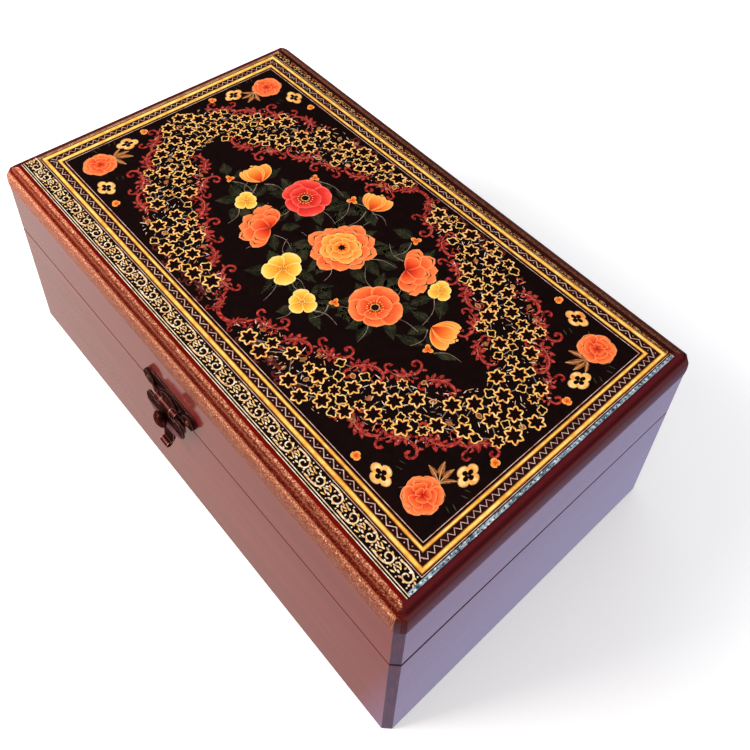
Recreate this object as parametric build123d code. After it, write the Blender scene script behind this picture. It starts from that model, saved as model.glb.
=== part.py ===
from build123d import *
import os
from math import asin, cos, radians, sin, sqrt

# Lacquered serving box with a hinged lid, a printed panel and a bronze front latch.
# Frame: the origin is the middle of the underside, +X runs along the box, -Y is the
# front with the latch, +Y is the back with the hinges, and +Z is up. Millimetres.

# Box
box_length = 280.0
box_depth = 164.5
base_height = 68.2  # underside to the seam
lid_height = 39.6  # seam to the top of the moulding
wall = 9.0
corner_chamfer = 3.1  # leg of the flat on each upright corner
corner_skin = 4.0  # what the end rabbets leave of the long walls
seam_gap = 0.3
seam_arris = 0.45  # eased edges on both sides of the seam
foot_arris = 0.6  # eased edge at the table

# Floor and dividers
floor_thickness = 4.0
floor_bite = 4.5  # how far the floor reaches under the walls
floor_fit = 0.1
divider_thickness = 4.0
divider_height = 55.0
divider_end_fit = 0.3
divider_slot_fit = 0.1
columns = 4

# Moulded edge of the lid board
board_thickness = 12.0
lower_bead_bulge = 0.3  # how far the lower bead stands out from the wall
shoulder_run = 1.9
shoulder_rise = 1.9
quirk_radius = 0.5  # the hollow between the two beads
upper_bead_radius = 1.3
strip_drop = 0.2  # the flat strip round the panel lies this far under the upper bead

# Printed panel
panel_thickness = 1.0
panel_sunk = 0.7
panel_inset_end = 5.0
panel_inset_front = 7.1
panel_inset_back = 7.8
panel_fit = 0.05
panel_arris = 0.15

# Back hinges
hinge_offset = 85.0  # from the middle of the box to the middle of each hinge
hinge_width = 24.0
hinge_leaf_height = 12.0  # pin axis to the far edge of a leaf
hinge_leaf_thickness = 1.0
hinge_barrel_radius = 2.2
hinge_pin_radius = 0.9
hinge_middle_knuckle = 8.0
hinge_ear_thickness = 1.0
hinge_ear_reach = 5.2  # pin axis to the outer corner of a stop ear
hinge_ear_height = 8.0
hinge_corner_radius = 2.0
hinge_stop_angle = 101.0  # lid angle where the ears meet
hinge_nail_spacing = 13.0
hinge_nail_height = 8.2  # pin axis to the nails

# Nails, forged with flat sides
nail_sides = 12
nail_radius = 0.55
nail_head_radius = 1.35
nail_shoulder_radius = 1.1
nail_shoulder_height = 0.4
nail_crown_radius = 0.55
nail_head_height = 0.75
nail_length = 6.0

# Running and seating clearances
pin_fit = 0.04
knuckle_gap = 0.2
knuckle_clear = 0.35
hole_fit = 0.05
latch_fit = 0.2

# Latch: heights are from the seam, depths are from the front of the box
plate_thickness = 0.9
plate_length = 33.6
plate_bottom = 0.9
plate_top = 13.3
plate_corner_radius = 5.5
relief_rise = 1.4  # lobes, bell and the band between them stand this far off the plate
relief_foot = 1.6
relief_foot_half = 11.5
lobe_offset = 14.9  # from the middle of the latch to the middle of each lobe
lobe_height = 8.9
lobe_radius = 3.9
bell_peak = 11.6
bell_waist_half = 6.4
bell_waist = 7.0
bell_crown_sag = 1.2  # how far the bell's shoulder rounds out
bell_sweep_sag = 0.7  # how far the valley beside it dips
valley_end_half = 13.2  # where the valley runs in under the lobe
valley_end = 6.2
crest_rise = 0.8  # the swelling inside the bell over the relief
crest_share = 0.45  # size of its flat top against the whole bell
latch_axis_height = 5.6
latch_barrel_radius = 1.7
latch_pin_radius = 0.7
latch_middle_knuckle = 7.2
latch_barrel_length = 14.8

# Hasp
hasp_thickness = 1.0
hasp_wing_half = 14.0
hasp_wing_top = 5.0
hasp_wing_bottom = -4.8
hasp_wing_shoulder = 10.8  # half width where the wing tips start to round
hasp_wing_sag = 0.3  # how far the wing's lower edge rounds out
hasp_notch_half = 7.0
hasp_notch = -6.4
hasp_strap_half = 4.2
hasp_strap = -13.8
hasp_strap_sag = 0.5  # how far the strap's sides draw in
hasp_tip_half = 2.6
hasp_tip = -18.6
hasp_bow = 0.35  # how far the body bows out past the barrel
hasp_flare = 1.1  # how far the tail turns out
hasp_roll_radius = 1.5
hasp_roll_offset = 0.9  # from the end of the sheet to the middle of the roll
sheet_samples = 8
knob_height = -1.0
knob_stem_radius = 1.7
knob_stem_length = 0.6
knob_rings = [(0, 2.9), (1.1, 4.1), (1.9, 4.1), (3.0, 3.1), (3.6, 1.6)]  # depth past the stem, radius
rivet_radius = 0.9
rivet_head_radius = 1.6
rivet_head_height = 0.5

# Catch
catch_half_width = 5.6
catch_top = -1.2
catch_bottom = -14.2
catch_corner_radius = 2.4
catch_bevel = 0.3
catch_nail_offset = 3.5
catch_nail_height = -4.0
ridge_height = -10.4
ridge_radius = 1.2
ridge_length = 7.0
hook_width = 4.0
hook_root_drop = 2.8
hook_tip_drop = 1.2
hook_tip = 0.45  # gap between the hook and the catch plate

# Worked-out levels
front = -box_depth / 2
back = box_depth / 2
box_height = base_height + lid_height
base_top = base_height - seam_gap / 2
lid_foot = base_height + seam_gap / 2
rail_top = box_height - board_thickness
strip_level = box_height - strip_drop
inner_length = box_length - 2 * wall
inner_depth = box_depth - 2 * wall
beyond = 2 * (box_length + box_depth)
hinge_axis_y = back + hinge_barrel_radius
latch_axis_out = plate_thickness + latch_barrel_radius + knuckle_clear
relief_depth = plate_thickness + relief_rise

# Local planes: depths grow away from the front of the box, heights start at the seam
front_plane = Plane(origin=(0, front, base_height), x_dir=(1, 0, 0), z_dir=(0, -1, 0))
# Side view of the latch: local x is the depth in front of the box, local y the height
latch_side = Plane(origin=(0, front, base_height), x_dir=(0, -1, 0), z_dir=(-1, 0, 0))
# Side view of a hinge: local x is behind the pin axis, local y is the height over it
hinge_side = Plane(origin=(0, hinge_axis_y, base_height), x_dir=(0, 1, 0), z_dir=(1, 0, 0))


def block(x0, x1, y0, y1, z0, z1):
    middle = Pos((x0 + x1) / 2, (y0 + y1) / 2, (z0 + z1) / 2)
    return middle * Box(x1 - x0, y1 - y0, z1 - z0)


def rod(plane, u, v, radius, x0, x1):
    # A bar along X through the point (u, v) of a side view, from x0 to x1
    centre = plane.from_local_coords(Vector(u, v, 0))
    turned = Rot(0, 90, 0) * Cylinder(radius, x1 - x0)
    return Pos((x0 + x1) / 2, centre.Y, centre.Z) * turned


def across(plane, sketch, x0, x1):
    # A side-view shape run along X from x0 to x1
    run = extrude(plane * sketch, amount=(x1 - x0) / 2, both=True)
    return Pos((x0 + x1) / 2, 0, 0) * run


def on_front(sketch, depth0, depth1):
    # A front-view shape between two depths in front of the box
    return extrude(front_plane.offset(depth0) * sketch, amount=depth1 - depth0)


def mirrored_face(half):
    # A face from the edges of its +x half, which start and end on the middle line
    return make_face(half + [mirror(edge, about=Plane.YZ) for edge in half])


# Wooden carcass
def carcass(z0, z1, top_arris, bottom_arris):
    footprint = chamfer(Rectangle(box_length, box_depth).vertices(), corner_chamfer)
    body = Pos(0, 0, z0) * extrude(footprint, amount=z1 - z0)
    for level, arris in ((-1, top_arris), (0, bottom_arris)):
        if arris > 0:
            body = chamfer(body.faces().sort_by(Axis.Z)[level].edges(), arris)
    return body


def wall_boards(body, z0, z1):
    half_l = box_length / 2
    inner_y = front + wall
    long_board = body & block(-half_l, half_l, front, inner_y, z0, z1)
    for end in (-1, 1):
        x0, x1 = sorted((end * (half_l - wall), end * half_l))
        long_board -= block(x0, x1, front + corner_skin, inner_y, z0, z1)
    half_run = box_depth / 2 - corner_skin
    side_board = body & block(half_l - wall, half_l, -half_run, half_run, z0, z1)
    return {
        "front": long_board,
        "back": mirror(long_board, about=Plane.XZ),
        "right": side_board,
        "left": mirror(side_board, about=Plane.YZ),
    }


def divider_positions():
    pitch = inner_length / columns
    return [pitch * (index - columns / 2) for index in range(1, columns)]


def long_divider():
    half = inner_length / 2 - divider_end_fit
    z0 = floor_thickness
    board = block(-half, half, -divider_thickness / 2, divider_thickness / 2, z0, z0 + divider_height)
    slot_half = divider_thickness / 2 + divider_slot_fit
    for x in divider_positions():
        board -= block(
            x - slot_half, x + slot_half, -wall, wall,
            z0 + divider_height / 2 - divider_slot_fit, z0 + divider_height + wall,
        )
    return board


def cross_divider(x):
    half = inner_depth / 2 - divider_end_fit
    z0 = floor_thickness
    board = block(
        x - divider_thickness / 2, x + divider_thickness / 2, -half, half, z0, z0 + divider_height
    )
    slot_half = divider_thickness / 2 + divider_slot_fit
    return board - block(
        x - wall, x + wall, -slot_half, slot_half, z0 - wall, z0 + divider_height / 2
    )


# Moulded lid board
def moulding_section():
    # Local x is the distance in from the wall's face, local y the height over the rails
    bead_foot = board_thickness - upper_bead_radius
    shoulder_end = (shoulder_run, bead_foot - quirk_radius)
    shoulder_start = (0, shoulder_end[1] - shoulder_rise)
    quirk_end = (shoulder_run + quirk_radius, bead_foot)
    bead_middle = quirk_end[0] + upper_bead_radius
    level = board_thickness - strip_drop
    inner_run = sqrt(upper_bead_radius**2 - (upper_bead_radius - strip_drop) ** 2)
    strip_edge = (bead_middle + inner_run, level)
    lower = ThreePointArc((0, 0), (-lower_bead_bulge, shoulder_start[1] / 2), shoulder_start)
    shoulder = TangentArc(shoulder_start, shoulder_end, tangent=lower % 1)
    slant = quirk_radius * cos(radians(45))
    hollow = (shoulder_run + slant, bead_foot - slant)
    quirk = ThreePointArc(shoulder_end, hollow, quirk_end)
    upper = ThreePointArc(quirk_end, (bead_middle, board_thickness), strip_edge)
    rest = Polyline(strip_edge, (beyond, level), (beyond, 0), (0, 0))
    return make_face([lower, shoulder, quirk, upper] + rest.edges())


def lid_board():
    # The board is what lies inside the section run along all eight sides of the outline
    section = moulding_section()
    corner_distance = (box_length / 2 + box_depth / 2 - corner_chamfer) / sqrt(2)
    sides = [
        (0, box_length / 2), (90, box_depth / 2), (180, box_length / 2), (270, box_depth / 2),
        (45, corner_distance), (135, corner_distance), (225, corner_distance), (315, corner_distance),
    ]
    board = None
    for angle, distance in sides:
        outward = Vector(cos(radians(angle)), sin(radians(angle)), 0)
        inward = outward * -1
        origin = outward * distance + Vector(0, 0, rail_top)
        side = Plane(origin=origin, x_dir=inward, z_dir=inward.cross(Vector(0, 0, 1)))
        prism = extrude(side * section, amount=beyond / 2, both=True)
        board = prism if board is None else board & prism
    recess = panel_block(panel_fit, strip_level - panel_sunk, box_height + wall)
    return board - recess


def panel_block(grow, z0, z1):
    half = box_length / 2 - panel_inset_end + grow
    return block(-half, half, front + panel_inset_front - grow, back - panel_inset_back + grow, z0, z1)


def picture_panel():
    z0 = strip_level - panel_sunk
    panel = panel_block(0, z0, z0 + panel_thickness)
    return chamfer(panel.faces().sort_by(Axis.Z)[-1].edges(), panel_arris)


# Nails, with the shank running down local -z from under the head
def nail(grow=0.0):
    shank = extrude(RegularPolygon(nail_radius + grow, nail_sides), amount=-nail_length - grow)
    if grow > 0:
        return shank
    rings = [
        (nail_head_radius, 0), (nail_shoulder_radius, nail_shoulder_height),
        (nail_crown_radius, nail_head_height),
    ]
    head = loft([Pos(0, 0, z) * RegularPolygon(radius, nail_sides) for radius, z in rings], ruled=True)
    return shank + head


def back_places(upward):
    # Nail seats on the outer faces of the hinge leaves, pointing out of the back
    places = []
    for hinge in (-1, 1):
        for side in (-1, 1):
            x = hinge * hinge_offset + side * hinge_nail_spacing / 2
            z = base_height + upward * hinge_nail_height
            seat = Plane(
                origin=(x, back + hinge_leaf_thickness, z), x_dir=(1, 0, 0), z_dir=(0, 1, 0)
            )
            places.append(seat)
    return places


def front_places(offset, height, depth):
    # Nail seats on both sides of the middle, at a depth in front of the box
    seat = front_plane.offset(depth)
    return [seat * Pos(side * offset, height, 0) for side in (-1, 1)]


def latch_nail_places():
    return front_places(lobe_offset, lobe_height, relief_depth)


def catch_nail_places():
    return front_places(catch_nail_offset, catch_nail_height, plate_thickness)


def placed(piece, places):
    return Compound([(place.location if isinstance(place, Plane) else place) * piece for place in places])


# Hinges: the leaves lie on the back faces, and their ears meet when the lid is open
def hinge_leaf(x, upward):
    r = hinge_barrel_radius
    t = hinge_leaf_thickness
    half = hinge_width / 2
    barrel_half = half - hinge_ear_thickness - knuckle_gap / 2
    middle_half = hinge_middle_knuckle / 2
    outer_start = middle_half + knuckle_gap

    def up(points):
        return [(u, upward * v) for u, v in points]

    plate = across(hinge_side, make_face(Polyline(
        *up([(-r, 0), (-r + t, 0), (-r + t, hinge_leaf_height), (-r, hinge_leaf_height)]), close=True
    )), -half, half)
    far = plate.edges().filter_by(Axis.Y).group_by(Axis.Z)[-1 if upward > 0 else 0]
    plate = fillet(far, hinge_corner_radius)
    own = [(-middle_half, middle_half)] if upward > 0 else [(-barrel_half, -outer_start), (outer_start, barrel_half)]
    other = [(-half, -middle_half), (middle_half, half)] if upward > 0 else [(-outer_start, outer_start)]
    for x0, x1 in other:
        plate -= rod(hinge_side, 0, 0, r + knuckle_clear, x0, x1)
    for x0, x1 in own:
        plate += rod(hinge_side, 0, 0, r, x0, x1)
    if upward < 0:
        for x0, x1 in ((-half, -barrel_half), (barrel_half, half)):
            plate -= rod(hinge_side, 0, 0, r + knuckle_clear, x0, x1)
    stop = radians(hinge_stop_angle / 2)
    gap = knuckle_gap / 2
    ear = make_face(Polyline(
        *up([
            (-r, gap), (gap * cos(stop) / sin(stop), gap),
            (hinge_ear_reach * cos(stop), hinge_ear_reach * sin(stop)),
            (-r + t, hinge_ear_height), (-r, hinge_ear_height),
        ]), close=True
    ))
    for x0, x1 in ((-half, -half + hinge_ear_thickness), (half - hinge_ear_thickness, half)):
        plate += across(hinge_side, ear, x0, x1)
    plate -= rod(hinge_side, 0, 0, hinge_pin_radius + pin_fit, -barrel_half, barrel_half)
    return Pos(x, 0, 0) * plate


def hinge_pin(x):
    half = hinge_width / 2 - hinge_ear_thickness - knuckle_gap
    return Pos(x, 0, 0) * rod(hinge_side, 0, 0, hinge_pin_radius, -half, half)


# Latch
def relief_outline():
    # Bell in the middle, a valley on each side of it and a round lobe at each end
    waist = (bell_waist_half, bell_waist)
    valley = (valley_end_half, valley_end)
    foot = (relief_foot_half, relief_foot)
    outline = mirrored_face([
        SagittaArc((0, bell_peak), waist, bell_crown_sag),
        SagittaArc(waist, valley, -bell_sweep_sag),
        Line(valley, foot),
        Line(foot, (0, relief_foot)),
    ])
    for side in (-1, 1):
        outline += Pos(side * lobe_offset, lobe_height) * Circle(lobe_radius)
    return outline


def bell_outline(share):
    # The bell over the relief's foot, or the part of it that is left at its crest
    peak = (0, relief_foot + (bell_peak - relief_foot) * share)
    waist = (bell_waist_half * share, relief_foot + (bell_waist - relief_foot) * share)
    foot = (bell_waist_half * share, relief_foot)
    return mirrored_face([
        SagittaArc(peak, waist, bell_crown_sag * share), Line(waist, foot), Line(foot, (0, relief_foot))
    ])


def latch_plate():
    middle_height = (plate_top + plate_bottom) / 2
    outline = Pos(0, middle_height) * RectangleRounded(
        plate_length, plate_top - plate_bottom, plate_corner_radius
    )
    plate = on_front(outline, 0, plate_thickness)
    plate += on_front(relief_outline(), plate_thickness / 2, relief_depth)
    plate += loft(
        [
            front_plane.offset(relief_depth) * bell_outline(1),
            front_plane.offset(relief_depth + crest_rise) * bell_outline(crest_share),
        ],
        ruled=True,
    )
    axis = (latch_axis_out, latch_axis_height)
    middle_half = latch_middle_knuckle / 2
    reach = latch_barrel_length / 2
    web = make_face(Polyline(
        (plate_thickness / 2, axis[1] - latch_barrel_radius), (axis[0], axis[1] - latch_barrel_radius),
        (axis[0], axis[1] + latch_barrel_radius), (plate_thickness / 2, axis[1] + latch_barrel_radius),
        close=True,
    ))
    clear = middle_half + knuckle_gap
    plate -= rod(latch_side, *axis, latch_barrel_radius + knuckle_clear, -clear, clear)
    for x0, x1 in ((-reach, -clear), (clear, reach)):
        plate += across(latch_side, web, x0, x1)
        plate += rod(latch_side, *axis, latch_barrel_radius, x0, x1)
    plate -= rod(latch_side, *axis, latch_pin_radius + pin_fit, -reach, reach)
    return plate - placed(nail(hole_fit), latch_nail_places())


def hasp_path():
    # Side view of the middle of the sheet, from the front of the barrel down to the tip
    start = latch_axis_out + latch_barrel_radius - hasp_thickness / 2
    return [
        (start, latch_axis_height),
        (start + hasp_bow, knob_height),
        (start + hasp_bow, (hasp_notch + hasp_strap) / 2),
        (start + hasp_bow + hasp_flare, hasp_tip),
    ]


def hasp_sheet():
    centre_line = Spline(*hasp_path(), tangents=((0, -1), (1, -1)))
    half = hasp_thickness / 2
    sides = []
    for side in (-1, 1):
        points = []
        for step in range(sheet_samples + 1):
            place = centre_line @ (step / sheet_samples)
            along = centre_line % (step / sheet_samples)
            points.append((place.X - side * half * along.Y, place.Y + side * half * along.X))
        sides.append(points)
    outer = Spline(*sides[0])
    inner = Spline(*sides[1])
    return make_face([outer, Line(sides[0][-1], sides[1][-1]), inner, Line(sides[1][0], sides[0][0])])


def hasp_outline():
    middle_half = latch_middle_knuckle / 2
    neck = latch_axis_height - latch_barrel_radius - knuckle_clear
    wing_root = latch_barrel_length / 2 + 2 * knuckle_gap
    wing_start = (hasp_wing_shoulder, hasp_wing_top)
    wing_end = (hasp_wing_shoulder, hasp_wing_bottom)
    notch = (hasp_notch_half, hasp_notch)
    strap = (hasp_strap_half, hasp_strap)
    top = Polyline(
        (0, latch_axis_height), (middle_half, latch_axis_height), (middle_half, neck),
        (wing_root, neck), (wing_root, hasp_wing_top), wing_start,
    )
    tail = Polyline(strap, (hasp_tip_half, hasp_tip), (0, hasp_tip))
    sides = [
        SagittaArc(wing_start, wing_end, hasp_wing_half - hasp_wing_shoulder),
        SagittaArc(wing_end, notch, hasp_wing_sag),
        SagittaArc(notch, strap, -hasp_strap_sag),
    ]
    return mirrored_face(top.edges() + sides + tail.edges())


def hasp():
    axis = (latch_axis_out, latch_axis_height)
    middle_half = latch_middle_knuckle / 2
    sheet = across(latch_side, hasp_sheet(), -hasp_wing_half - 1, hasp_wing_half + 1)
    body = sheet & on_front(hasp_outline(), 0, latch_axis_out + wall)
    body += rod(latch_side, *axis, latch_barrel_radius, -middle_half, middle_half)
    tip = hasp_path()[-1]
    body += rod(latch_side, tip[0] + hasp_roll_offset, tip[1], hasp_roll_radius, -hasp_tip_half, hasp_tip_half)
    hook_top = ridge_height - ridge_radius - latch_fit
    hook_root = latch_axis_out + latch_barrel_radius
    hook = make_face(Polyline(
        (plate_thickness + hook_tip, hook_top), (hook_root, hook_top),
        (hook_root, hook_top - hook_root_drop), (plate_thickness + hook_tip, hook_top - hook_tip_drop),
        close=True,
    ))
    body += across(latch_side, hook, -hook_width / 2, hook_width / 2)
    body -= rod(latch_side, *axis, latch_pin_radius + pin_fit, -middle_half, middle_half)
    return body - on_front(Pos(0, knob_height) * Circle(rivet_radius + hole_fit), 0, 4 * latch_axis_out)


def knob_seat():
    # Depth of the hasp's front face behind the knob
    return latch_axis_out + latch_barrel_radius + hasp_bow


def hasp_knob():
    # A turned button on a stem, with its rivet end closed behind the hasp
    seat = knob_seat()
    behind = seat - hasp_thickness - hole_fit
    neck = seat + knob_stem_length
    profile = [
        (behind - rivet_head_height, 0), (behind - rivet_head_height, rivet_radius),
        (behind, rivet_head_radius), (behind, rivet_radius), (seat + hole_fit, rivet_radius),
        (seat + hole_fit, knob_stem_radius), (neck, knob_stem_radius),
    ]
    profile += [(neck + depth, radius) for depth, radius in knob_rings]
    profile.append((neck + knob_rings[-1][0], 0))
    knob = revolve(make_face(Polyline(*profile, close=True)), Axis.X)
    return Location(latch_side.location) * Pos(0, knob_height, 0) * knob


def catch_plate():
    height = catch_top - catch_bottom
    outline = Pos(0, (catch_top + catch_bottom) / 2) * RectangleRounded(
        2 * catch_half_width, height, catch_corner_radius
    )
    plate = on_front(outline, 0, plate_thickness)
    plate = chamfer(plate.faces().sort_by(Axis.Y)[0].edges(), catch_bevel)
    ridge = rod(latch_side, plate_thickness, ridge_height, ridge_radius, -ridge_length / 2, ridge_length / 2)
    reach = plate_thickness + ridge_radius + wall
    keep = on_front(Pos(0, ridge_height) * Rectangle(2 * ridge_length, 4 * ridge_radius), plate_thickness / 2, reach)
    plate += ridge & keep
    return plate - placed(nail(hole_fit), catch_nail_places())


# Assembly
base = wall_boards(carcass(0, base_top, seam_arris, foot_arris), 0, base_top)
lid = wall_boards(carcass(lid_foot, rail_top, 0, seam_arris), lid_foot, rail_top)
half_floor_length = inner_length / 2 + floor_bite
half_floor_depth = inner_depth / 2 + floor_bite
for name in base:
    base[name] -= block(
        -half_floor_length, half_floor_length, -half_floor_depth, half_floor_depth, 0, floor_thickness
    )
base["back"] -= placed(nail(hole_fit), back_places(-1))
lid["back"] -= placed(nail(hole_fit), back_places(1))
base["front"] -= placed(nail(hole_fit), catch_nail_places())
lid["front"] -= placed(nail(hole_fit), latch_nail_places())

pieces = {
    "base_floor": block(
        -half_floor_length + floor_fit, half_floor_length - floor_fit,
        -half_floor_depth + floor_fit, half_floor_depth - floor_fit, 0, floor_thickness,
    ),
    "long_divider": long_divider(),
    "lid_top_board": lid_board(),
    "picture_panel": picture_panel(),
    "latch_plate": latch_plate(),
    "latch_nails": placed(nail(), latch_nail_places()),
    "latch_pin": rod(
        latch_side, latch_axis_out, latch_axis_height, latch_pin_radius,
        -latch_barrel_length / 2, latch_barrel_length / 2,
    ),
    "hasp": hasp(),
    "hasp_knob": hasp_knob(),
    "catch_plate": catch_plate(),
    "catch_nails": placed(nail(), catch_nail_places()),
    "hinge_base_nails": placed(nail(), back_places(-1)),
    "hinge_lid_nails": placed(nail(), back_places(1)),
}
for name, board in base.items():
    pieces[f"base_{name}_wall"] = board
for name, board in lid.items():
    pieces[f"lid_{name}_rail"] = board
for name, x in zip(("left", "middle", "right"), divider_positions()):
    pieces[f"cross_divider_{name}"] = cross_divider(x)
for name, side in (("left", -1), ("right", 1)):
    pieces[f"hinge_base_leaf_{name}"] = hinge_leaf(side * hinge_offset, -1) - placed(
        nail(hole_fit), back_places(-1)
    )
    pieces[f"hinge_lid_leaf_{name}"] = hinge_leaf(side * hinge_offset, 1) - placed(
        nail(hole_fit), back_places(1)
    )
    pieces[f"hinge_pin_{name}"] = hinge_pin(side * hinge_offset)

os.makedirs("parts", exist_ok=True)
for name, piece in pieces.items():
    piece.label = name
    export_step(piece, f"parts/{name}.step")
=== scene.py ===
import random
from math import atan2, cos, hypot, pi, radians, sin, tau

import bmesh
import bpy
from mathutils import Matrix, Vector


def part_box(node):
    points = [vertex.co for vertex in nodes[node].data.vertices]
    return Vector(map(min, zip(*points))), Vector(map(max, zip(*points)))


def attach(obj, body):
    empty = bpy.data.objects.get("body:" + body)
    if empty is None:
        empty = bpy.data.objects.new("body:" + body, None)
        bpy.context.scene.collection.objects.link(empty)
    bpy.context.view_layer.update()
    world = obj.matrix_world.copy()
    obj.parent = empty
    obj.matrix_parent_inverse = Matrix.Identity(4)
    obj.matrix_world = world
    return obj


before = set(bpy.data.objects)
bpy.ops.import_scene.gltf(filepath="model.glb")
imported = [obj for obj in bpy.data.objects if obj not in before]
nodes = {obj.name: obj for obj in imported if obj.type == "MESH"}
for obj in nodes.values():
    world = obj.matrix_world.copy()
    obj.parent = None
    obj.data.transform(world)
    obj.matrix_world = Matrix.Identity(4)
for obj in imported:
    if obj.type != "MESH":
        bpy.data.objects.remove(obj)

# Lacquered serving box with a printed floral lid, a moulded edge and a dark bronze latch.
# The solids come from the frame. This file adds the print, the finishes, the studio and the camera.

scene = bpy.context.scene
mm = 0.001
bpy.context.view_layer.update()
print("frame loaded, parts:", len(nodes))


def addObject(name, data):
    added = bpy.data.objects.new(name, data)
    scene.collection.objects.link(added)
    return added


# Helpers for materials
def newMaterial(name):
    material = bpy.data.materials.new(name)
    material.use_nodes = True
    tree = material.node_tree
    return material, tree, tree.nodes["Principled BSDF"]


def feed(tree, node, inputs):
    # An input takes another node's output, a number, a vector, or a colour without its alpha
    for key, value in inputs.items():
        socket = node.inputs[key]
        if isinstance(value, bpy.types.NodeSocket):
            tree.links.new(value, socket)
        elif isinstance(value, tuple) and len(socket.default_value) > len(value):
            socket.default_value = (*value, 1)
        else:
            socket.default_value = value


def addNode(tree, kind, inputs=None, **settings):
    node = tree.nodes.new("ShaderNode" + kind)
    for key, value in settings.items():
        setattr(node, key, value)
    feed(tree, node, inputs or {})
    return node


def axes(tree, output="Object"):
    coords = addNode(tree, "TexCoord")
    return addNode(tree, "SeparateXYZ", {"Vector": coords.outputs[output]}).outputs


def calc(tree, operation, *values, clamp=False):
    inputs = dict(enumerate(values))
    return addNode(tree, "Math", inputs, operation=operation, use_clamp=clamp).outputs[0]


def mixColors(tree, factor, under, over, blend="MIX"):
    inputs = {"Factor": factor, "A": under, "B": over}
    return addNode(tree, "Mix", inputs, data_type="RGBA", blend_type=blend).outputs["Result"]


def rampColors(tree, factor, stops):
    # A stop is a place with a colour or with one grey level
    node = addNode(tree, "ValToRGB", {"Fac": factor})
    ramp = node.color_ramp
    while len(ramp.elements) < len(stops):
        ramp.elements.new(0.5)
    for element, (place, tone) in zip(ramp.elements, stops):
        element.position = place
        element.color = (*(tone if isinstance(tone, tuple) else (tone, tone, tone)), 1)
    return node.outputs["Color"]


def objectNoise(tree, scale, detail, rough, stretch=(1, 1, 1)):
    coords = addNode(tree, "TexCoord")
    mapping = addNode(tree, "Mapping", {"Vector": coords.outputs["Object"], "Scale": stretch})
    return addNode(tree, "TexNoise", {
        "Vector": mapping.outputs["Vector"], "Scale": scale, "Detail": detail, "Roughness": rough,
    }).outputs["Fac"]


def bumped(tree, height, strength, distance):
    inputs = {"Height": height, "Strength": strength, "Distance": distance}
    return addNode(tree, "Bump", inputs).outputs["Normal"]


print("helpers ready")

# The varnish inside the box
innerLook = {
    "tones": [(0.34, (0.13, 0.03, 0.018)), (0.52, (0.2, 0.055, 0.03)), (0.7, (0.27, 0.09, 0.05))],
    "reach": (0.1312, 0.07345), "dullShare": 0.7,
}

# Lacquered wood: stained ground, darker on the corner flats, under a clear gloss coat
woodLook = {
    "stain": [(0.34, (0.17, 0.012, 0.009)), (0.52, (0.195, 0.015, 0.011)), (0.7, (0.225, 0.02, 0.015))],
    "corner": [(0.35, (0.04, 0.008, 0.01)), (0.75, (0.195, 0.015, 0.011))],
    "slant": [(0.3, 0), (0.45, 1)], "figure": (1, 6, 0.62),
    "mottle": (900, 4, 0.7, (1, 1, 0.15)), "dust": (900, 2, 0.5), "rough": 0.45, "under": 0.15,
    "coat": 1, "coatRough": 0.1, "coatIor": 1.52, "seam": 0.0682, "seamHalf": 0.00048,
    "seamMore": 0.0004, "seamTaper": 0.0045, "seamDull": 0.94, "seamTone": (0.055, 0.008, 0.008),
    "dullShare": 0.62, "grainBump": (0.015, 0.0004), "dustBump": (0.02, 0.0002),
}


def withinWalls(tree, x, y):
    # One on faces that look into the box, nought outside
    inX, inY = (
        calc(tree, "LESS_THAN", calc(tree, "ABSOLUTE", along), reach)
        for along, reach in zip((x, y), innerLook["reach"]))
    return calc(tree, "MULTIPLY", inX, inY)


def lacqueredWood(name, grain, look=woodLook):
    material, tree, shader = newMaterial(name)
    x, y, z = axes(tree)
    facingX, facingY, _ = axes(tree, "Normal")
    figure = objectNoise(tree, *look["figure"], grain)
    flat = rampColors(tree, calc(tree, "ABSOLUTE", calc(tree, "MULTIPLY", facingX, facingY)), look["slant"])
    corner = rampColors(tree, objectNoise(tree, *look["mottle"]), look["corner"])
    stain = mixColors(tree, flat, rampColors(tree, figure, look["stain"]), corner)
    # The eased edges of the seam are dark and dull, wider on the ends and widest at the front
    wider = calc(tree, "MULTIPLY_ADD", y, -look["seamTaper"], look["seamMore"])
    reach = calc(tree, "MULTIPLY_ADD", calc(tree, "ABSOLUTE", facingX), wider, look["seamHalf"])
    seam = calc(tree, "LESS_THAN", calc(tree, "ABSOLUTE", calc(tree, "SUBTRACT", z, look["seam"])), reach)
    stain = mixColors(tree, seam, stain, look["seamTone"])
    within = withinWalls(tree, x, y)
    dull = calc(tree, "MAXIMUM", calc(tree, "MULTIPLY", flat, look["dullShare"]),
                calc(tree, "MULTIPLY", seam, look["seamDull"]))
    lessInside = calc(tree, "MULTIPLY_ADD", within, -innerLook["dullShare"], 1)
    feed(tree, shader, {
        "Base Color": mixColors(tree, within, stain, rampColors(tree, figure, innerLook["tones"])),
        "Roughness": look["rough"],
        "Specular IOR Level": look["under"],
        "Coat Weight": calc(tree, "MULTIPLY", calc(tree, "SUBTRACT", look["coat"], dull), lessInside),
        "Coat Roughness": look["coatRough"],
        "Coat IOR": look["coatIor"],
        "Normal": bumped(tree, figure, *look["grainBump"]),
        "Coat Normal": bumped(tree, objectNoise(tree, *look["dust"]), *look["dustBump"]),
    })
    return material


woodAlong = lacqueredWood("lacquer on long boards", (7, 120, 120))
woodAcross = lacqueredWood("lacquer on end boards", (120, 7, 120))
insideLook = dict(woodLook, coatRough=0.3, grainBump=(0.12, 0.0004), dullShare=0, seamDull=0)
insideWood = lacqueredWood("varnish inside", (9, 120, 160), insideLook)
insideCross = lacqueredWood("varnish on cross dividers", (120, 9, 160), insideLook)

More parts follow.
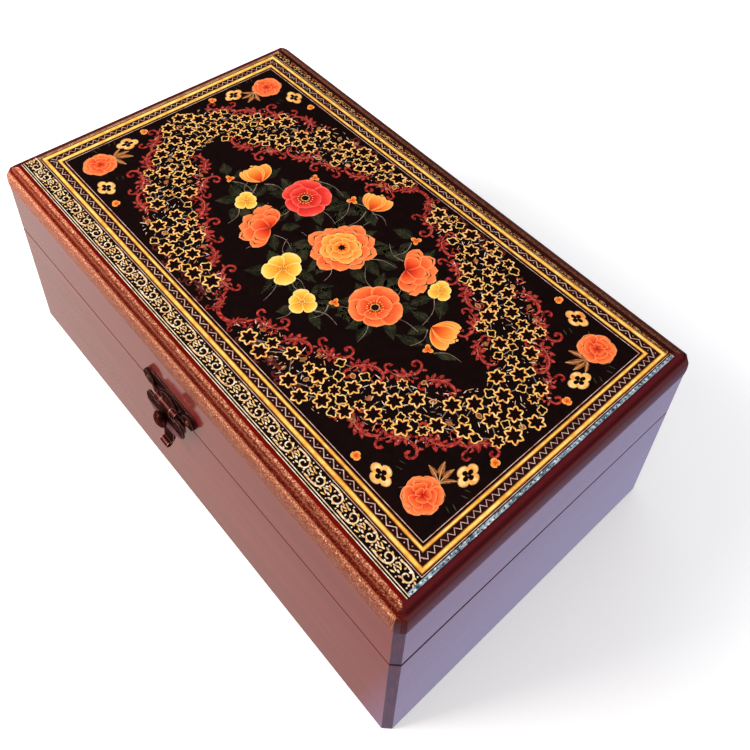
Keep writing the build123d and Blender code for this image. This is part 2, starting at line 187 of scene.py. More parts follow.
# The moulded edge: deep red where it lies flat, grainy copper on the beads with a painted highlight along
# each bead and painted shade in the groove between them, under a warm-tinted real sheen; the ends are painted
# in shade
# The run is the way round the profile in millimetres, from the foot of the lower bead in over the strip
boardLow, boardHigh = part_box("lid_top_board")
mouldingLook = {
    "foot": 0.0958, "bulge": 0.0003, "length": 20, "flatFrom": 17.1, "flatTo": 17.5,
    "flat": [(0.35, (0.125, 0.0035, 0.002)), (0.65, (0.168, 0.0045, 0.0025))],
    # Bead tones along the run: painted highlights from 9.7 to 10.5 and from 16.2 to 17.2, painted shade in
    # the groove from 11.7 to 13.3
    "beadToneAndPaintedLight": [(0, (0.42, 0.3, 0.27)), (1.6, (0.5, 0.38, 0.34)), (8.6, (0.52, 0.42, 0.37)),
             (9.7, (0.84, 0.8, 0.74)), (10.5, (0.72, 0.6, 0.52)), (11.7, (0.24, 0.062, 0.042)),
             (13.3, (0.22, 0.052, 0.036)), (13.9, (0.34, 0.17, 0.14)), (15.5, (0.42, 0.25, 0.21)),
             (16.2, (1, 0.97, 0.94)), (17.2, (1, 0.97, 0.94))],
    "gloss": [(0, 1), (11.2, 1), (11.8, 0.05), (13.5, 0.05), (14.5, 0.6), (20, 1)],
    "grain": [(0.35, (0.13, 0.013, 0.008)), (0.46, (0.34, 0.055, 0.03)), (0.56, (0.62, 0.21, 0.1)),
              (0.66, (1, 0.66, 0.42))],
    # The ends along the run: painted shade, darker than the front, with a painted lilac reflection on the
    # lower bead
    "side": [(0, (0.17, 0.046, 0.056)), (8.6, (0.12, 0.024, 0.029)), (10.2, (0.155, 0.04, 0.044)),
             (12, (0.095, 0.01, 0.013)), (17, (0.105, 0.009, 0.012))],
    "mottle": [(0.35, (0.82, 0.78, 0.78)), (0.65, 1)],
    "backTone": (0.028, 0.006, 0.005), "backShare": 0.8, "slant": 0.2,
    "cornerTone": (0.085, 0.012, 0.01), "below": -0.9, "paintedLeftLightFrom": -0.15, "paintedLeftLight": 0.7,
    "grainNoise": (1900, 3, 0.65), "cloudNoise": (60, 2, 0.5),
    "underNoise": (1, 6, 0.62, (9, 120, 160)), "sheenLevel": 0.55,
    "sheenLeft": {"side": 0.14, "corner": 0.35, "under": 0},
    "rough": 0.44, "sheen": (1, 0.62, 0.4), "grainBump": (0.8, 0.0002), "coat": 0.3, "coatRough": 0.08,
}


def mouldingFinish():
    look = mouldingLook
    material, tree, shader = newMaterial("lacquer on the moulding")
    x, y, z = axes(tree)
    facingX, facingY, facingZ = axes(tree, "Normal")
    middle = (boardLow + boardHigh) / 2
    half = (boardHigh - boardLow) / 2

    def inFrom(along, centre, reach):
        away = calc(tree, "ABSOLUTE", calc(tree, "SUBTRACT", along, centre))
        return calc(tree, "SUBTRACT", reach - look["bulge"], away)

    inX, inY = inFrom(x, middle.x, half.x), inFrom(y, middle.y, half.y)
    run = calc(tree, "ADD", calc(tree, "SUBTRACT", z, look["foot"]), calc(tree, "MINIMUM", inX, inY))
    share = calc(tree, "MULTIPLY", run, 1 / (look["length"] * mm))

    def alongRun(stops):
        return rampColors(tree, share, [(place / look["length"], tone) for place, tone in stops])

    side = calc(tree, "LESS_THAN", inX, inY)
    back = calc(tree, "GREATER_THAN", y, middle.y)
    slant = calc(tree, "ABSOLUTE", calc(tree, "MULTIPLY", facingX, facingY))
    corner = calc(tree, "GREATER_THAN", slant, look["slant"])
    under = calc(tree, "LESS_THAN", facingZ, look["below"])
    fade = look["flatTo"] - look["flatFrom"]
    flat = calc(tree, "MULTIPLY_ADD", run, 1 / (fade * mm), -look["flatFrom"] / fade, clamp=True)
    grain = objectNoise(tree, *look["grainNoise"])
    flecks = rampColors(tree, grain, look["grain"])
    # The beads take the painted highlights and the painted groove shade along the run
    beadsWithPaintedLight = mixColors(tree, 1, flecks, alongRun(look["beadToneAndPaintedLight"]), "MULTIPLY")
    # Painted light: the left end of the front beads is painted brighter, where the key light falls stronger
    paintedLeftLight = calc(tree, "MULTIPLY_ADD", x, -1 / half.x, look["paintedLeftLightFrom"], clamp=True)
    beadsWithPaintedLight = mixColors(tree, calc(tree, "MULTIPLY", paintedLeftLight, look["paintedLeftLight"]), beadsWithPaintedLight, beadsWithPaintedLight, "ADD")
    beadsWithPaintedLight = mixColors(tree, calc(tree, "MULTIPLY", back, look["backShare"]), beadsWithPaintedLight, look["backTone"])
    smooth = rampColors(tree, objectNoise(tree, *look["cloudNoise"]), look["flat"])
    front = mixColors(tree, flat, beadsWithPaintedLight, mixColors(tree, back, smooth, look["backTone"]))
    # The ends: tones in painted shade, with a painted lilac reflection on the lower bead
    ends = mixColors(tree, 1, alongRun(look["side"]), rampColors(tree, grain, look["mottle"]), "MULTIPLY")
    # The clipped corners are dark, and the underside of the board is varnished like the inside
    over = mixColors(tree, corner, mixColors(tree, side, front, ends), look["cornerTone"])
    varnish = rampColors(tree, objectNoise(tree, *look["underNoise"]), innerLook["tones"])
    sheen = calc(tree, "MULTIPLY_ADD", flat, -look["sheenLevel"], look["sheenLevel"])
    shine = calc(tree, "MULTIPLY", sheen, alongRun(look["gloss"]))
    for mask, part in ((side, "side"), (corner, "corner"), (under, "under")):
        kept = calc(tree, "MULTIPLY_ADD", mask, look["sheenLeft"][part] - 1, 1)
        shine = calc(tree, "MULTIPLY", shine, kept)
    feed(tree, shader, {
        "Base Color": mixColors(tree, under, over, varnish),
        "Roughness": look["rough"],
        "Specular IOR Level": shine,
        "Specular Tint": look["sheen"],
        "Coat Weight": calc(tree, "MULTIPLY", flat, look["coat"]),
        "Coat Roughness": look["coatRough"],
        "Normal": bumped(tree, grain, *look["grainBump"]),
    })
    return material


mouldingWood = mouldingFinish()

# Bronze: dark red-brown, bright only along its edges: partly rubbed wear, partly a painted rim highlight
bronzeLook = {
    "deep": (0.026, 0.006, 0.006), "warm": (0.1, 0.026, 0.022), "gilt": (0.3, 0.105, 0.045),
    "knob": (0.13, 0.026, 0.016), "wornAndHighlit": (0.86, 0.44, 0.37), "cloud": (420, 5, 0.6),
    "strap": (0.4, 0.25, 0.27), "strapTop": 0.0665, "strapEnd": 0.0588, "strapFade": 0.0012,
    "edge": 0.00036, "wornAndHighlitEdge": [(0.03, 0), (0.14, 1)], "rough": 0.42, "metal": 0.85, "wornAndHighlitMetal": 0.35,
    "grazing": (0.3, 0.09, 0.085), "bump": (0.25, 0.0003),
}


def darkBronze(name, wearAndHighlight, warm=bronzeLook["warm"], rough=bronzeLook["rough"], paintedStrapReflection=False):
    look = bronzeLook
    material, tree, shader = newMaterial(name)
    cloud = objectNoise(tree, *look["cloud"])
    ground = rampColors(tree, cloud, [(0.36, look["deep"]), (0.64, warm)])
    if paintedStrapReflection:
        # Painted reflection: the strap is painted a paler lilac-pink than the wings above it, for the pale
        # floor its face mirrors
        _, _, z = axes(tree)
        slope = 1 / look["strapFade"]
        below = calc(tree, "MULTIPLY_ADD", z, -slope, look["strapTop"] * slope, clamp=True)
        above = calc(tree, "MULTIPLY_ADD", z, slope, -look["strapEnd"] * slope, clamp=True)
        ground = mixColors(tree, calc(tree, "MULTIPLY", below, above), ground, look["strap"])
    geometry = addNode(tree, "NewGeometry")
    bevel = addNode(tree, "Bevel", {"Radius": look["edge"]}, samples=6)
    facing = addNode(tree, "VectorMath", {
        0: bevel.outputs["Normal"], 1: geometry.outputs["Normal"]}, operation="DOT_PRODUCT")
    turned = calc(tree, "SUBTRACT", 1, facing.outputs["Value"])
    # Bright edges: partly rubbed wear, partly a painted rim highlight in a pale copper-pink
    rubbingAndHighlight = calc(tree, "MULTIPLY", rampColors(tree, turned, look["wornAndHighlitEdge"]), wearAndHighlight)
    feed(tree, shader, {
        "Base Color": mixColors(tree, rubbingAndHighlight, ground, look["wornAndHighlit"]),
        "Metallic": calc(tree, "MULTIPLY_ADD", rubbingAndHighlight, look["wornAndHighlitMetal"] - look["metal"], look["metal"]),
        "Roughness": rough,
        "Specular Tint": look["grazing"],
        "Normal": bumped(tree, cloud, *look["bump"]),
    })
    return material


bronze = darkBronze("antique bronze", 0.55)
# The hasp: rubbed edges with painted rim highlights, and a painted reflection on its strap
haspBronze = darkBronze("rubbed bronze", 0.8, paintedStrapReflection=True)
pinBronze = darkBronze("pin bronze", 0.12)
giltBronze = darkBronze("gilt bronze", 0.25, bronzeLook["gilt"], 0.26)
knobBronze = darkBronze("knob bronze", 0.25, bronzeLook["knob"], 0.24)

# Inks on the panel, all under one clear gloss; each has the size of its grain and its tones
inkLook = {
    "rough": 0.6, "under": 0.06, "coat": 0.4, "coatRough": 0.05, "low": 0.33, "span": 0.34, "grain": (3, 0.6)}
inkTones = {
    "ground": (260, (0.0048, 0.001, 0.0008), (0.0085, 0.0018, 0.0014)),
    "gold": (240, (0.8, 0.36, 0.05), (0.96, 0.58, 0.1), (1, 0.76, 0.22)),
    "amber": (300, (0.36, 0.1, 0.015), (0.62, 0.22, 0.03)),
    "cream": (420, (0.6, 0.36, 0.18), (0.86, 0.7, 0.5), (1, 0.9, 0.74)),
    "butter": (300, (0.84, 0.24, 0.04), (0.96, 0.48, 0.12), (1, 0.76, 0.34)),
    "star": (620, (0.56, 0.16, 0.03), (0.93, 0.54, 0.12), (1, 0.86, 0.46)),
    "starEdge": (620, (0.24, 0.022, 0.01), (0.66, 0.11, 0.035)),
    "line": (700, (0.5, 0.22, 0.06), (0.82, 0.56, 0.3), (1, 0.88, 0.74)),
    "crimson": (620, (0.09, 0.004, 0.004), (0.3, 0.018, 0.014), (0.62, 0.07, 0.05)),
    "crimsonLight": (420, (0.3, 0.035, 0.03), (0.56, 0.13, 0.09)),
    "maroonLight": (520, (0.05, 0.008, 0.007), (0.16, 0.02, 0.016)),
    "maroon": (300, (0.01, 0.002, 0.002), (0.026, 0.004, 0.004)),
    "rose": (420, (0.42, 0.17, 0.13), (0.86, 0.62, 0.54)),
    # Blue-grey tones of the painted glare along the right edge
    "paintedGlare": (420, (0.03, 0.06, 0.09), (0.16, 0.24, 0.31), (0.42, 0.5, 0.56)),
    "leaf": (200, (0.006, 0.006, 0.003), (0.014, 0.014, 0.006), (0.034, 0.031, 0.013)),
    "leafEdge": (420, (0.02, 0.02, 0.01), (0.075, 0.07, 0.034)),
    "tan": (620, (0.14, 0.035, 0.012), (0.46, 0.16, 0.045)),
    "tanLight": (420, (0.5, 0.22, 0.07), (0.82, 0.46, 0.18)),
    "twig": (420, (0.1, 0.07, 0.055), (0.36, 0.27, 0.21)),
}


def glossOver(tree, shader, color):
    feed(tree, shader, {
        "Base Color": color,
        "Roughness": inkLook["rough"],
        "Specular IOR Level": inkLook["under"],
        "Coat Weight": inkLook["coat"],
        "Coat Roughness": inkLook["coatRough"],
    })


def inkFinish(name, scale, *tones):
    material, tree, shader = newMaterial(name)
    step = inkLook["span"] / (len(tones) - 1)
    stops = [(inkLook["low"] + step * index, tone) for index, tone in enumerate(tones)]
    glossOver(tree, shader, rampColors(tree, objectNoise(tree, scale, *inkLook["grain"]), stops))
    return material


inks = {kind: inkFinish(kind + " ink", *values) for kind, values in inkTones.items()}

# Petals: the tone runs from the base of a petal at 0 to its rim at 1
petalLook = {"stops": (0, 0.34, 0.66, 0.88, 0.945, 1), "stretch": (3, 0.7, 1), "shift": (0.34, -0.18)}
petalTones = {
    "orange": ((0.42, 0.018, 0.004), (0.84, 0.11, 0.014), (0.98, 0.3, 0.04), (1, 0.48, 0.11),
               (1, 0.6, 0.22), (0.5, 0.045, 0.01)),
    "flame": ((0.3, 0.008, 0.003), (0.72, 0.04, 0.012), (0.94, 0.13, 0.03), (0.98, 0.26, 0.075),
              (1, 0.42, 0.18), (0.42, 0.018, 0.008)),
    "scarlet": ((0.1, 0.002, 0.003), (0.5, 0.01, 0.01), (0.8, 0.034, 0.024), (0.92, 0.1, 0.07),
                (0.98, 0.26, 0.2), (0.3, 0.008, 0.008)),
    "yellow": ((0.55, 0.12, 0.008), (0.88, 0.34, 0.025), (1, 0.56, 0.075), (1, 0.72, 0.2),
               (1, 0.84, 0.42), (0.62, 0.18, 0.02)),
}


def petalFinish(kind):
    material, tree, shader = newMaterial(kind + " petal")
    place = addNode(tree, "UVMap", uv_map="petal").outputs["UV"]
    split = addNode(tree, "SeparateXYZ", {"Vector": place})
    stretch = addNode(tree, "Mapping", {"Vector": place, "Scale": petalLook["stretch"]})
    streaks = addNode(tree, "TexNoise", {
        "Vector": stretch.outputs["Vector"], "Scale": 7, "Detail": 3})
    shift = calc(tree, "MULTIPLY_ADD", streaks.outputs["Fac"], *petalLook["shift"])
    total = calc(tree, "ADD", split.outputs["Y"], shift, clamp=True)
    glossOver(tree, shader, rampColors(tree, total, list(zip(petalLook["stops"], petalTones[kind]))))
    return material


inks.update({kind: petalFinish(kind) for kind in petalTones})
print("finishes ready")

# The print is drawn in millimetres, each colour a thin film over the one below
panelLow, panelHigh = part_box("picture_panel")
printLevel = panelHigh.z / mm
film = 0.005
left, right = panelLow.x / mm, panelHigh.x / mm
near, far = panelLow.y / mm, panelHigh.y / mm
chance = random.Random(7).uniform

# The field is drawn about its own middle, the borders about the middle of the lid
fieldMiddle = (-0.3, 1.6)
lidMiddle = (0, 0)
mirrors = [(mx, my) for mx in (1, -1) for my in (1, -1)]

# The print is a little wider at its right end: its back edge runs out there
printSkew = {"push": 3.4, "turn": 69.7}


def finishPrint(name, mesh, ink, layer, about):
    mesh.transform(Matrix.Translation((*about, printLevel + film * layer)))
    turn = printSkew["turn"]
    for vert in mesh.vertices:
        push = printSkew["push"] * (vert.co.x - left) / (right - left)
        if vert.co.y < turn:
            vert.co.y += push * (vert.co.y - near) / (turn - near)
        else:
            vert.co.y = far - (far - vert.co.y) * (far - turn - push) / (far - turn)
    mesh.transform(Matrix.Scale(mm, 4))
    mesh.materials.clear()
    mesh.materials.append(inks[ink])
    piece = addObject("print_" + name, mesh)
    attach(piece, "lid")


def meshFrom(bm, name):
    mesh = bpy.data.meshes.new(name)
    bm.to_mesh(mesh)
    bm.free()
    return mesh


def faceUp(bm):
    bm.normal_update()
    bmesh.ops.reverse_faces(bm, faces=[face for face in bm.faces if face.normal.z < 0])


def makeNib():
    line = bpy.data.curves.new("nib", "CURVE")
    spline = line.splines.new("POLY")
    spline.points.add(1)
    for point, x in zip(spline.points, (-0.5, 0.5)):
        point.co = (x, 0, 0, 1)
    return addObject("nib", line)


nib = makeNib()


# A line is (points, closed, curved) and its points are (x, y, width)
def bent(*points):
    return points, False, True


def straight(*points):
    return points, False, False


def dotAt(x, y, half, width):
    return straight((x - half, y, width), (x + half, y, width))


def strokeMesh(name, lines, smooth=3):
    data = bpy.data.curves.new(name, "CURVE")
    data.dimensions = "3D"
    data.twist_mode = "Z_UP"
    data.bevel_mode = "OBJECT"
    data.bevel_object = nib
    data.resolution_u = smooth
    for points, closed, curved in lines:
        spline = data.splines.new("NURBS" if curved else "POLY")
        spline.points.add(len(points) - 1)
        for target, (x, y, width) in zip(spline.points, points):
            target.co = (x, y, 0, 1)
            target.radius = width
        spline.use_cyclic_u = closed
        if curved:
            spline.order_u = 3
            spline.use_endpoint_u = not closed
    holder = addObject(name, data)
    graph = bpy.context.evaluated_depsgraph_get()
    mesh = bpy.data.meshes.new_from_object(holder.evaluated_get(graph))
    bpy.data.objects.remove(holder)
    bm = bmesh.new()
    bm.from_mesh(mesh)
    bpy.data.meshes.remove(mesh)
    for vert in bm.verts:
        vert.co.z = 0
    faceUp(bm)
    return meshFrom(bm, name)


def strokes(name, lines, ink, layer, smooth=3):
    finishPrint(name, strokeMesh(name, lines, smooth), ink, layer, fieldMiddle)


def borderStrokes(name, lines, ink, layer):
    finishPrint(name, strokeMesh(name, lines), ink, layer, lidMiddle)


def patchMesh(name, outline):
    # A filled shape: a disc whose rim is moved out to the outline
    bm = bmesh.new()
    rim = bmesh.ops.create_circle(bm, cap_ends=True, segments=len(outline), radius=1)["verts"]
    for vert, (x, y, *_) in zip(rim, outline):
        vert.co = (x, y, 0)
    faceUp(bm)
    bmesh.ops.triangulate(bm, faces=bm.faces)
    return meshFrom(bm, name)


def stamp(name, pattern, places, ink, layer):
    # Copies of one shape; a place is (x, y, turn, size) or (x, y, turn, size across, size along, lift)
    bm = bmesh.new()
    for x, y, turn, across, *rest in places:
        along, lift = rest or (across, 0)
        copy = pattern.copy()
        spread = Matrix.Diagonal((across, along, 1, 1))
        copy.transform(Matrix.Translation((x, y, film * lift)) @ Matrix.Rotation(turn, 4, "Z") @ spread)
        bm.from_mesh(copy)
        bpy.data.meshes.remove(copy)
    faceUp(bm)
    finishPrint(name, meshFrom(bm, name), ink, layer, fieldMiddle)


def fitRectangle(corners, rectangle):
    x0, x1, y0, y1 = rectangle
    middleX = sum(vert.co.x for vert in corners) / 4
    middleY = sum(vert.co.y for vert in corners) / 4
    for vert in corners:
        vert.co = (x1 if vert.co.x > middleX else x0, y1 if vert.co.y > middleY else y0, 0)


def frames(name, rings, ink, layer):
    # Each ring is an outer and an inner rectangle, both (x0, x1, y0, y1)
    bm = bmesh.new()
    for outer, inner in rings:
        corners = bmesh.ops.create_grid(bm, x_segments=1, y_segments=1, size=0.5)["verts"]
        fitRectangle(corners, outer)
        bm.normal_update()
        face = corners[0].link_faces[0]
        bmesh.ops.inset_region(bm, faces=[face], thickness=0.05, use_boundary=True)
        fitRectangle(face.verts, inner)
        bmesh.ops.delete(bm, geom=[face], context="FACES_ONLY")
    finishPrint(name, meshFrom(bm, name), ink, layer, lidMiddle)


def shrunk(rectangle, amount):
    x0, x1, y0, y1 = rectangle
    return (x0 + amount, x1 - amount, y0 + amount, y1 - amount)


# Borders: two gold bands with a zigzag band between them and thin lines on both sides
# A band is its outer and its inner rectangle, both (x0, x1, y0, y1)
border = {
    "outer": ((-133, 132.3, -66.1, 69.7), (-130.6, 130.5, -64.2, 67.7)),
    "inner": ((-127.4, 127, -60.9, 64.1), (-125.2, 125.5, -59.4, 62.5)),
    "rim": 0.36, "lap": 0.3, "thin": 0.26, "fieldGap": 0.9, "outGap": 0.75, "waveLong": 2.85,
    "waveShort": 1.55, "waveHalf": 1.05, "waveWidth": 0.42, "dot": 0.42, "dotShare": 0.55,
}


def zigzag(start, end, fixed, alongX):
    # Rows along the box also have a dot in every bend
    pitch = border["waveLong"] if alongX else border["waveShort"]
    count = 2 * round((end - start) / pitch / 2)
    step = (end - start) / count
    wave, dots = [], []
    for index in range(count + 1):
        along = start + step * index
        side = border["waveHalf"] * (1 if index % 2 else -1)
        place = (along, fixed + side) if alongX else (fixed + side, along)
        wave.append((*place, border["waveWidth"]))
        if alongX:
            dots.append(dotAt(along, fixed - side * border["dotShare"], border["dot"] / 2, border["dot"]))
    return straight(*wave), dots


def drawBorders():
    rim, lap = border["rim"], border["lap"]
    bands = (border["outer"], border["inner"])
    (outerOut, outerIn), (innerOut, innerIn) = bands
    frames("gold_bands", [(shrunk(out, rim), shrunk(within, -rim)) for out, within in bands], "gold", 2)
    rims = [ring for out, within in bands for ring in (
        (out, shrunk(out, rim)), (shrunk(within, -rim), within))]
    frames("amber_rims", rims, "amber", 2)
    frames("zigzag_ground", [(shrunk(outerIn, lap), shrunk(innerOut, -lap))], "maroon", 1)
    edges = (shrunk(innerIn, border["fieldGap"]), shrunk(outerOut, -border["outGap"]))
    frames("rose_lines", [(edge, shrunk(edge, border["thin"])) for edge in edges], "rose", 2)
    lowX, highX, lowY, highY = ((outer + inner) / 2 for outer, inner in zip(outerIn, innerOut))
    waves, dots = [], []
    for row in ((lowX, highX, lowY, True), (lowX, highX, highY, True),
                (lowY, highY, lowX, False), (lowY, highY, highX, False)):
        wave, spots = zigzag(*row)
        waves.append(wave)
        dots += spots
    borderStrokes("zigzags", waves, "rose", 4)
    borderStrokes("zigzag_dots", dots, "rose", 4)


# Scroll bands outside the gold: paired spirals with leaf dabs, dense and bright
scroll = {
    "inset": 0.9, "near": (-73.35, -67.3), "far": (70.9, 76.9), "farCut": 0.2, "pitch": 9.3, "vine": 0.6,
    "shake": 0.15,
    "coil": {"turns": 11, "from": -105, "step": 42, "reach": 0.86, "less": 0.066, "oval": 1.15},
    "dabs": ((8, 2.6, 1.1), (40, 2.5, 1.3), (75, 2.5, 1.35), (110, 2.6, 1.2), (145, 2.5, 1.2),
             (185, 2.4, 1.1), (225, 2.5, 1.2), (262, 2.5, 1.25), (300, 2.6, 1.2), (335, 2.5, 1)),
    "ties": ((0.78, 0.9), (0.4, -0.8), (0.02, 0.7), (-0.36, -0.8), (-0.76, 0.9)),
    "seeds": ((-0.27, 0.86), (0.27, -0.86), (0.3, 0.82), (-0.12, 0)),
    "nearLines": ((0.16, 0.32), (1.15, 0.34)), "leftLines": ((0.55, 0.32), (1.2, 0.2)), "leftStart": 2.2,
    "paintedGlare": {"width": 1.5, "start": 1.4, "first": 1.6, "last": 1.2, "dash": (0.34, 0.42)},
}


def rinceau(y0, y1):
    # Each cell holds one spiral, turned over from cell to cell
    vines, dabs, seeds = [], [], []
    x0, x1 = left + scroll["inset"], right - scroll["inset"]
    count = round((x1 - x0) / scroll["pitch"])
    step = (x1 - x0) / count
    middle, half = (y0 + y1) / 2, (y1 - y0) / 2
    vine, coil = scroll["vine"], scroll["coil"]
    for index in range(count):
        side = 1 if index % 2 else -1
        cx = x0 + step * (index + 0.5)
        shake = chance(-scroll["shake"], scroll["shake"])
        arm = [(cx - step * 0.62, middle - side * half * 0.8, vine),
               (cx - step * 0.38, middle - side * half * 0.86, vine)]
        for turn in range(coil["turns"]):
            angle = radians(coil["from"] + turn * coil["step"])
            reach = half * (coil["reach"] - coil["less"] * turn)
            arm.append((cx + reach * coil["oval"] * cos(angle), middle + side * reach * sin(angle),
                        vine * (1.2 - 0.05 * turn)))
        vines.append(bent(*arm))
        for angle, reach, width in scroll["dabs"]:
            bearing = radians(angle + 40 * shake)
            bx, by = cx + 1.26 * reach * cos(bearing), middle + side * 0.62 * reach * sin(bearing)
            lean = bearing + 0.9
            tipX, tipY = bx + 1.5 * cos(lean), by + side * 0.95 * sin(lean)
            dabs.append(bent((bx, by, 0.25), ((bx + tipX) / 2, (by + tipY) / 2, width), (tipX, tipY, 0.2)))
        edge = cx - step / 2
        for rise, lean in scroll["ties"]:
            by = middle + rise * half
            dabs.append(bent((edge - 0.9, by - 0.3 * lean, 0.2), (edge, by, 0.95),
                             (edge + 0.9, by + 0.35 * lean, 0.2)))
        for dx, rise in scroll["seeds"]:
            seeds.append(dotAt(cx + dx * step, middle + side * rise * half, 0.25, 0.5))
    return vines, dabs, seeds


def drawScrolls():
    vines, dabs, seeds = rinceau(*scroll["near"])
    borderStrokes("near_vines", vines, "line", 2)
    borderStrokes("near_dabs", dabs[0::3] + dabs[1::3], "line", 4)
    borderStrokes("near_dabs_gold", dabs[2::3], "star", 4)
    borderStrokes("near_seeds", seeds, "cream", 4)
    borderStrokes("near_lines", [
        straight((left, near + rise, width), (right, near + rise, width))
        for rise, width in scroll["nearLines"]], "cream", 3)
    # The far band is drawn in darker tans than the near one: painted shade
    vines, dabs, _ = rinceau(*scroll["far"])
    cut = far - scroll["farCut"]
    vines = [bent(*((x, min(y, cut), width) for x, y, width in points)) for points, *_ in vines]
    borderStrokes("far_vines", vines, "tan", 2)
    dabs = [dab for dab in dabs if max(y for _, y, _ in dab[0]) < cut]
    borderStrokes("far_dabs", dabs, "tanLight", 4)
    start = near + scroll["leftStart"]
    borderStrokes("left_lines", [
        straight((left + inset, start, width), (left + inset, far, width))
        for inset, width in scroll["leftLines"]], "tanLight", 3)
    # Along the right edge a blue-grey band with pale dashes and dark gaps: a painted reflection of glare
    paintedGlare = scroll["paintedGlare"]
    middle = right - paintedGlare["width"] / 2
    band = straight((middle, near + paintedGlare["start"], paintedGlare["width"]), (middle, far, paintedGlare["width"]))
    borderStrokes("paintedGlare_band", [band], "paintedGlare", 5)
    dashes = []
    y = near + paintedGlare["first"]
    startWidth, endWidth = paintedGlare["dash"]
    while y < far - paintedGlare["last"]:
        reach = chance(0.3, 0.9)
        x = middle + chance(-0.45, 0.45)
        dashes.append(straight((x, y, startWidth), (x + chance(-0.4, 0.4), y + reach, endWidth)))
        y += chance(0.7, 1.5)
    borderStrokes("paintedGlare_band_dashes", dashes[0::2], "cream", 7)
    borderStrokes("paintedGlare_band_gaps", dashes[1::2], "ground", 7)


drawBorders()
drawScrolls()
print("borders drawn")

# Outlines in the field, one quarter each
medallionQuarter = [
    (0, 56.8), (5.6, 55.2), (8, 49.5), (11.5, 44), (18, 42), (27, 43), (36, 38.5), (45, 31.5), (57, 29.5),
    (65, 24), (70, 15.5), (79, 13), (87.5, 9.5), (92, 0)]
cornerQuarter = [
    (58, 58), (68, 54.5), (76.5, 47), (88, 43.5), (97, 37.5), (100.5, 28.5), (109.5, 23.5), (117, 16),
    (122.5, 8)]


def fullOutline(quarter):
    top = [(-x, y) for x, y in reversed(quarter)] + quarter[1:]
    bottom = [(x, -y) for x, y in reversed(top)]
    return top + bottom[1:-1]


medallion = fullOutline(medallionQuarter)
cornerOutline = cornerQuarter + [(140, 8), (140, 80), (58, 80)]


def insideOutline(x, y, outline):
    inside = False
    px, py = outline[-1]
    for cx, cy in outline:
        if (cy > y) != (py > y) and x < cx + (y - cy) * (px - cx) / (py - cy):
            inside = not inside
        px, py = cx, cy
    return inside


def distanceToLine(x, y, line):
    best = 1000
    for (x0, y0), (x1, y1) in zip(line, line[1:]):
        dx, dy = x1 - x0, y1 - y0
        share = min(1, max(0, ((x - x0) * dx + (y - y0) * dy) / (dx ** 2 + dy ** 2)))
        best = min(best, hypot(x - x0 - share * dx, y - y0 - share * dy))
    return best


def alongOutline(quarter, pitch):
    # Evenly spaced places with their directions along one quarter
    places = []
    carry = pitch / 2
    for (x0, y0), (x1, y1) in zip(quarter, quarter[1:]):
        length = hypot(x1 - x0, y1 - y0)
        angle = atan2(y1 - y0, x1 - x0)
        while carry < length:
            share = carry / length
            places.append((x0 + (x1 - x0) * share, y0 + (y1 - y0) * share, angle))
            carry += pitch
        carry -= length
    return places


def beside(x, y, dx, dy, along, aside, width):
    # A point some way along a direction and some way to its left
    return x + dx * along - dy * aside, y + dy * along + dx * aside, width


# Crimson leaf scrolls: an arching stem with a hooked end, a toothed leaf round its root
# Teeth are (x, y, degrees, reach, width); the arch is the rim of the round bay at each end
leafScroll = {
    "stem": [(-7.4, -1.6, 0.8), (-5.8, 0.6, 2.2), (-3, 2, 3), (0.6, 2.4, 2.3), (4, 1.6, 1.7),
             (6.5, -0.4, 1.3), (6.9, -3, 1.2), (5.2, -4.9, 1.1), (3, -4.3, 1.2), (2.9, -2.4, 1.8),
             (4.2, -2, 1.1)],
    "curl": [(-5.2, -0.2, 1.4), (-7.8, -1, 1.3), (-9.4, -2.8, 1.1), (-9, -4.9, 1), (-7, -5.4, 1.1),
             (-6.2, -3.9, 1.8)],
    "teeth": [(-6.6, 1, 140, 2.2, 1.9), (-4.6, 2, 108, 2.8, 2.5), (-2, 2.8, 82, 3, 2.6),
              (1, 2.9, 60, 2.3, 2.1), (-4.4, 0, -118, 2.3, 2.2), (-1.8, 0.8, -84, 2.9, 2.4),
              (1, 1.4, -50, 1.9, 1.6), (6.6, 0.4, 30, 2.1, 1.4)],
    "tuft": [(0, 0, 95, 3.2, 2), (0, 0, 20, 2.8, 1.9), (0, 0, 160, 2.9, 1.8), (0, 0, -60, 2.5, 1.8),
             (0, 0, 235, 2.6, 1.8)],
    "arch": [(-10.5, 45.5, 0.4), (-9, 50.5, 1.4), (-5.4, 55.4, 1.9), (0, 57.2, 1.7), (5.4, 55.4, 1.9),
             (9, 50.5, 1.4), (10.5, 45.5, 0.4)],
    "lifts": ((medallionQuarter, 0.4, 3.4), (cornerQuarter, -0.6, -3.4)),
    "pitch": 15.6, "size": 0.94, "fits": (1, 0.8, 0.62), "clear": 1.6, "tuftSize": 0.85,
    "dimX": (20, 33, 46), "dimY": 55.6,
}


def toothLines(teeth):
    lines, veins = [], []
    for x, y, angle, reach, width in teeth:
        way = (x, y, cos(radians(angle)), sin(radians(angle)))
        bend = -0.22 * reach
        lines.append(bent((x, y, width), beside(*way, reach * 0.55, bend * 0.3, width),
                          beside(*way, reach, bend, 0.15)))
        veins.append(straight((x, y, 0.34), beside(*way, reach * 0.8, bend * 0.5, 0.18)))
    return lines, veins


def withinBorder(x, y, heading, size, hand):
    x0, x1, y0, y1 = shrunk(border["inner"][1], leafScroll["clear"])
    c, s = size * cos(heading), size * sin(heading)
    midX, midY = x + fieldMiddle[0], y + fieldMiddle[1]
    return all(
        x0 < midX + px * c - py * hand * s < x1 and y0 < midY + px * s + py * hand * c < y1
        for px, py, _ in leafScroll["stem"] + leafScroll["curl"])


